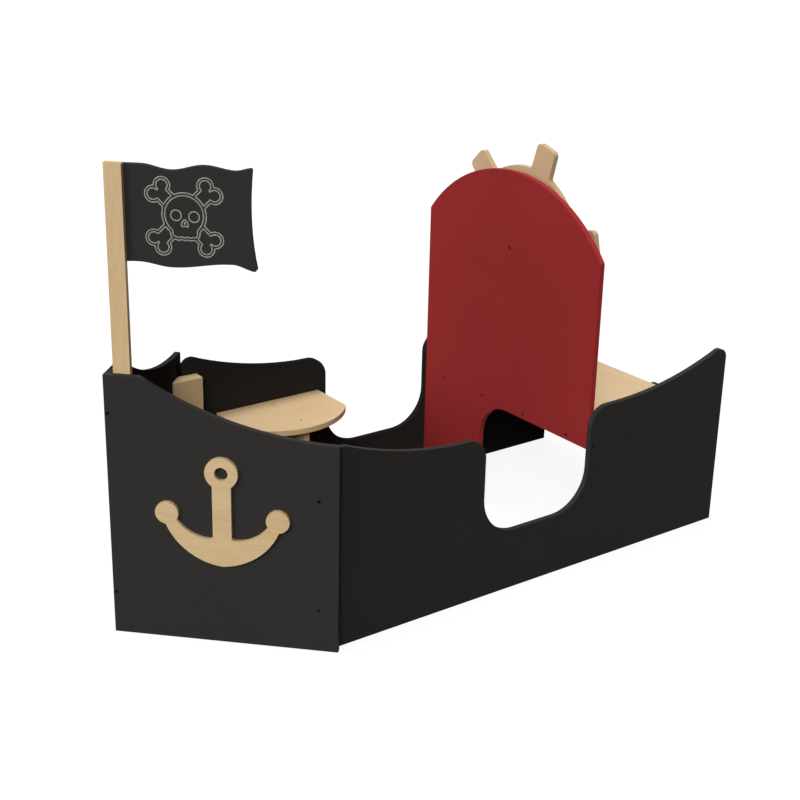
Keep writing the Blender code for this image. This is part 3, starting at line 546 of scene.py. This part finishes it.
def screw_seat(node):
    """Where a screw node's head sits and which way it faces, and its length."""
    points = np.array([vertex.co[:] for vertex in node.data.vertices])
    middle = (points.max(axis=0) + points.min(axis=0)) / 2
    axes = np.linalg.svd(points - middle, full_matrices=False)[2]
    axis = axes[0]
    along = (points - middle) @ axis
    radius = np.linalg.norm((points - middle) - np.outer(along, axis), axis=1)
    if along[radius > (HEAD_RADIUS + SHANK_RADIUS) / 2].mean() < 0.0:
        axis, along = -axis, -along
    centre = middle + axis * along.max()
    return Vector(centre), Vector(axis), float(along.max() - along.min())


SCREW_MESHES = {}


def make_screws():
    for name, node in sorted(NODES.items()):
        if "_screw_" not in name:
            continue
        place, facing, length = screw_seat(node)
        size = round(length, 3)
        # The boards' screws take the near-black steel, painted shade for their sunk holes.
        finish = TARNISHED if name.startswith("table_screw") else SHADE_BLACK_STEEL
        key = (size, finish.name)
        if key not in SCREW_MESHES:
            mesh = screw_mesh(size)
            mesh.materials.append(finish)
            SCREW_MESHES[key] = mesh
        screw = bpy.data.objects.new(f"threaded_{name}", SCREW_MESHES[key])
        bpy.context.scene.collection.objects.link(screw)
        turn = facing.to_track_quat("Z", "Y").to_matrix().to_4x4()
        screw.matrix_world = Matrix.Translation(place) @ turn
        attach(screw, "boat")
        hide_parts(name)


make_screws()


# Emblem: a traditional skull over crossed bones, drawn in double lines on the flag's outer face, in
# millimetres along the bow board from the stem and up from the floor

EMBLEM_LOW = (115.0, 1105.0)
EMBLEM_HIGH = (345.0, 1345.0)
BONE_ENDS = ((159.8, 1289.0), (299.3, 1291.8), (298.9, 1150.9), (159.3, 1149.4))
LOBE_SPREAD = 17.0
LOBE_RADIUS = 22.0
SHAFT_HALF = 22.9
SHAFT_OVERRUN = 6.0
BONE_GAP = 7.0
SKULL_CENTRE = (229.4, 1224.6)
SKULL_RADIUS = 59.1
SKULL_GAP = 7.6
JAW_CENTRE = (231.2, 1185.0)
JAW_HALF = (22.5, 9.0)
JAW_ROUND = 17.5
TOOTH_PITCH = 15.9
TOOTH_DEPTH = 1.0
TOOTH_FADE = 10.0
JAW_EASE = 3.0
EYES = ((207.9, 1223.5), (255.9, 1221.6))
EYE_RADIUS = 14.1
NOSE = (230.8, 1199.3)
NOSE_HALF = 9.4
NOSE_RISE = 13.7
NOSE_POWER = 1.65
NOSE_DROP = 3.3
NOSE_NOTCH = 1.6
NOSE_NOTCH_HALF = 7.0
NOSE_CORE = (230.9, 1203.6)
NOSE_CORE_HALF = (1.9, 3.1)
LINE_WIDTH = 3.2
LINE_CROWN = 0.75
LINE_PROUD = 0.35
LINE_SHARP_FROM = math.radians(30.0)
GRID = 1.25
LEAST_POINTS = 8

# Where the flag's outer face lies, out of the bow board's outer face: behind that board and the mast
FLAG_FACE = -2.0 * (BOARD + SEAM)


def far_from(x, y, centre):
    return np.hypot(x - centre[0], y - centre[1])


def smooth_union(first, second, ease):
    share = np.clip(0.5 + 0.5 * (second - first) / ease, 0.0, 1.0)
    return second * (1.0 - share) + first * share - ease * share * (1.0 - share)


def bones(x, y):
    """Signed distance to two crossed bones: flat-ended shafts, with two lobes at each end."""
    distance = np.full(np.shape(x), np.inf)
    for start, end in ((0, 2), (1, 3)):
        first = np.array(BONE_ENDS[start])
        along = np.array(BONE_ENDS[end]) - first
        length = np.hypot(*along)
        along = along / length
        across = np.array((-along[1], along[0]))
        reach = (x - first[0]) * along[0] + (y - first[1]) * along[1]
        aside = np.abs((x - first[0]) * across[0] + (y - first[1]) * across[1])
        beyond = np.abs(reach - length / 2) - length / 2 - SHAFT_OVERRUN
        distance = np.minimum(distance, np.maximum(aside - SHAFT_HALF, beyond))
        for tip in (first, np.array(BONE_ENDS[end])):
            for side in (-LOBE_SPREAD, LOBE_SPREAD):
                distance = np.minimum(distance, far_from(x, y, tip + side * across) - LOBE_RADIUS)
    return distance


def skull(x, y):
    """Signed distance to a round skull with a narrower jaw that ends in small teeth."""
    crown = far_from(x, y, SKULL_CENTRE) - SKULL_RADIUS
    wave = TOOTH_DEPTH * np.cos(math.tau * (x - SKULL_CENTRE[0]) / TOOTH_PITCH)
    wave = wave * np.clip((JAW_CENTRE[1] - y) / TOOTH_FADE, 0.0, 1.0)
    outside_x = np.abs(x - JAW_CENTRE[0]) - JAW_HALF[0]
    outside_y = np.abs(y - JAW_CENTRE[1]) - JAW_HALF[1]
    corner = np.hypot(np.maximum(outside_x, 0.0), np.maximum(outside_y, 0.0))
    jaw = corner + np.minimum(np.maximum(outside_x, outside_y), 0.0) - JAW_ROUND - wave
    return smooth_union(crown, jaw, JAW_EASE)


def nose(x, y):
    """Roughly the signed distance to a narrow arch with a notched foot."""
    aside, rise = np.abs(x - NOSE[0]), y - NOSE[1]
    arch = (aside / NOSE_HALF) ** NOSE_POWER + (np.maximum(rise, 0.0) / NOSE_RISE) ** NOSE_POWER
    foot = -rise - NOSE_DROP - NOSE_NOTCH * np.clip(aside / NOSE_NOTCH_HALF, 0.0, 1.0)
    return np.maximum(NOSE_HALF * (arch ** (1.0 / NOSE_POWER) - 1.0), foot)


def nose_core(x, y):
    """Roughly the signed distance to the small upright oval inside the nose."""
    share = np.hypot((x - NOSE_CORE[0]) / NOSE_CORE_HALF[0], (y - NOSE_CORE[1]) / NOSE_CORE_HALF[1])
    return NOSE_CORE_HALF[0] * (share - 1.0)


def outer_line(x, y):
    return np.minimum(bones(x, y), skull(x, y))


def inner_bones(x, y):
    return np.maximum(bones(x, y) + BONE_GAP, -skull(x, y))


def inner_skull(x, y):
    return skull(x, y) + SKULL_GAP


def eye(centre):
    return lambda x, y: far_from(x, y, centre) - EYE_RADIUS


def contours(field):
    """The closed lines along which a signed distance is zero, as lists of points.

    Each square of a grid that the line crosses gives one step, from the grid edge where the line
    enters to the one where it leaves, and the steps are then strung together.
    """
    xs = np.arange(EMBLEM_LOW[0], EMBLEM_HIGH[0], GRID)
    ys = np.arange(EMBLEM_LOW[1], EMBLEM_HIGH[1], GRID)
    grid_x, grid_y = np.meshgrid(xs, ys, indexing="ij")
    values = field(grid_x, grid_y)
    follows = {}
    places = {}
    for i in range(len(xs) - 1):
        for j in range(len(ys) - 1):
            corners = ((i, j), (i + 1, j), (i + 1, j + 1), (i, j + 1))
            inside = [values[corner] < 0.0 for corner in corners]
            if all(inside) or not any(inside):
                continue
            leaving, entering = [], []
            for index in range(4):
                first, second = corners[index], corners[(index + 1) % 4]
                if inside[index] == inside[(index + 1) % 4]:
                    continue
                edge = tuple(sorted((first, second)))
                share = values[edge[0]] / (values[edge[0]] - values[edge[1]])
                start = Vector((xs[edge[0][0]], ys[edge[0][1]]))
                end = Vector((xs[edge[1][0]], ys[edge[1][1]]))
                places[edge] = start.lerp(end, share)
                (leaving if inside[index] else entering).append(edge)
            for first, second in zip(leaving, entering):
                follows[first] = second
    loops = []
    while follows:
        edge = next(iter(follows))
        loop = []
        while edge in follows:
            loop.append(places[edge])
            edge = follows.pop(edge)
        loops.append(loop)
    return loops


def eased(loop, rounds=2):
    """The loop with each point moved towards its neighbours, which takes the grid's steps out."""
    for _ in range(rounds):
        count = len(loop)
        loop = [(loop[i - 1] + 2.0 * loop[i] + loop[(i + 1) % count]) / 4.0 for i in range(count)]
    return loop


def add_ribbon(shell, loop):
    """A closed line of the emblem: a low crowned strip lying on the flag."""
    half = LINE_WIDTH / 2
    crown = half * LINE_CROWN
    section = ((-half, 0.0), (-crown, LINE_PROUD), (crown, LINE_PROUD), (half, 0.0))
    rows = []
    count = len(loop)
    for index, point in enumerate(loop):
        ahead = (loop[(index + 1) % count] - loop[index - 1]).normalized()
        side = Vector((-ahead.y, ahead.x))
        row = []
        for across, proud in section:
            spot = point + side * across
            place = STEM + BOW_PORT * (spot.x / 1000.0) + UP * (spot.y / 1000.0)
            place += BOW_PORT.cross(UP) * (FLAG_FACE + proud / 1000.0)
            row.append(shell.verts.new(place))
        rows.append(row)
    for index in range(count):
        first, second = rows[index], rows[(index + 1) % count]
        for column in range(len(section) - 1):
            shell.faces.new((first[column], second[column], second[column + 1], first[column + 1]))
        shell.faces.new((first[-1], second[-1], second[0], first[0]))


def make_emblem():
    lines = []
    for field in (outer_line, inner_bones, inner_skull, *map(eye, EYES), nose, nose_core):
        lines += contours(field)
    shell = bmesh.new()
    for loop in lines:
        if len(loop) > LEAST_POINTS:
            add_ribbon(shell, eased(loop))
    bmesh.ops.recalc_face_normals(shell, faces=shell.faces)
    mesh = bpy.data.meshes.new("flag_emblem")
    shell.to_mesh(mesh)
    shell.free()
    mesh.shade_smooth()
    mesh.set_sharp_from_angle(angle=LINE_SHARP_FROM)
    mesh.materials.append(EMBLEM_LINE)
    emblem = bpy.data.objects.new("flag_emblem", mesh)
    bpy.context.scene.collection.objects.link(emblem)
    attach(emblem, "boat")


make_emblem()


# Floor, light and camera


def seen_directly(tree):
    """1 for rays from the camera, or by way of a reflection or glass; otherwise 0."""
    path = tree.nodes.new("ShaderNodeLightPath")
    last = path.outputs["Is Camera Ray"]
    for name in ("Is Glossy Ray", "Is Transmission Ray"):
        either = tree.nodes.new("ShaderNodeMath")
        either.operation = "MAXIMUM"
        tree.links.new(last, either.inputs[0])
        tree.links.new(path.outputs[name], either.inputs[1])
        last = either.outputs[0]
    return last


def make_floor():
    mesh = bpy.data.meshes.new("floor")
    corners = [(x * FLOOR_REACH, y * FLOOR_REACH, 0.0) for x, y in ((-1, -1), (1, -1), (1, 1), (-1, 1))]
    mesh.from_pydata(corners, [], [(0, 1, 2, 3)])
    floor = bpy.data.objects.new("floor", mesh)
    bpy.context.scene.collection.objects.link(floor)
    floor.location.z = -FLOOR_DROP
    look = bpy.data.materials.new("pale_floor")
    look.use_nodes = True
    tree = look.node_tree
    tree.nodes.clear()
    plain = tree.nodes.new("ShaderNodeBsdfDiffuse")
    plain.inputs["Color"].default_value = grey(FLOOR_RETURN)
    paper = tree.nodes.new("ShaderNodeBsdfDiffuse")
    paper.inputs["Color"].default_value = grey(FLOOR_PAPER)
    glow = tree.nodes.new("ShaderNodeEmission")
    glow.inputs["Strength"].default_value = FLOOR_GLOW
    both = tree.nodes.new("ShaderNodeAddShader")
    tree.links.new(paper.outputs[0], both.inputs[0])
    tree.links.new(glow.outputs[0], both.inputs[1])
    choice = tree.nodes.new("ShaderNodeMixShader")
    tree.links.new(seen_directly(tree), choice.inputs["Fac"])
    tree.links.new(plain.outputs[0], choice.inputs[1])
    tree.links.new(both.outputs[0], choice.inputs[2])
    tree.links.new(choice.outputs[0], tree.nodes.new("ShaderNodeOutputMaterial").inputs["Surface"])
    mesh.materials.append(look)


def make_world():
    world = bpy.data.worlds.new("studio")
    bpy.context.scene.world = world
    world.use_nodes = True
    tree = world.node_tree
    tree.nodes.clear()
    dim = tree.nodes.new("ShaderNodeBackground")
    dim.inputs["Strength"].default_value = AMBIENT
    white = tree.nodes.new("ShaderNodeBackground")
    white.inputs["Strength"].default_value = 1.0
    for background in (dim, white):
        background.inputs["Color"].default_value = grey(1.0)
    choice = tree.nodes.new("ShaderNodeMixShader")
    tree.links.new(seen_directly(tree), choice.inputs["Fac"])
    tree.links.new(dim.outputs[0], choice.inputs[1])
    tree.links.new(white.outputs[0], choice.inputs[2])
    tree.links.new(choice.outputs[0], tree.nodes.new("ShaderNodeOutputWorld").inputs["Surface"])


def make_lamps():
    for name, (direction, strength, width) in LAMPS.items():
        light = bpy.data.lights.new(name, "SUN")
        light.energy = strength * math.pi
        light.angle = math.radians(width)
        lamp = bpy.data.objects.new(name, light)
        bpy.context.scene.collection.objects.link(lamp)
        lamp.rotation_mode = "QUATERNION"
        lamp.rotation_quaternion = Vector(direction).to_track_quat("Z", "Y")


def make_camera():
    yaw, pitch, roll = (math.radians(angle) for angle in (CAMERA_YAW, CAMERA_PITCH, CAMERA_ROLL))
    back = Vector((math.sin(yaw) * math.cos(pitch), -math.cos(yaw) * math.cos(pitch), math.sin(pitch)))
    right = Vector((math.cos(yaw), math.sin(yaw), 0.0))
    up = back.cross(right)
    tilted_right = math.cos(roll) * right + math.sin(roll) * up
    tilted_up = math.cos(roll) * up - math.sin(roll) * right
    lens = bpy.data.cameras.new("camera")
    lens.lens = CAMERA_LENS
    lens.sensor_width = SENSOR
    camera = bpy.data.objects.new("camera", lens)
    bpy.context.scene.collection.objects.link(camera)
    turn = Matrix((tilted_right, tilted_up, back)).transposed().to_4x4()
    camera.matrix_world = Matrix.Translation(CAMERA_PLACE) @ turn
    bpy.context.scene.camera = camera


make_floor()
make_world()
make_lamps()
make_camera()
bpy.context.scene.view_settings.view_transform = "Standard"
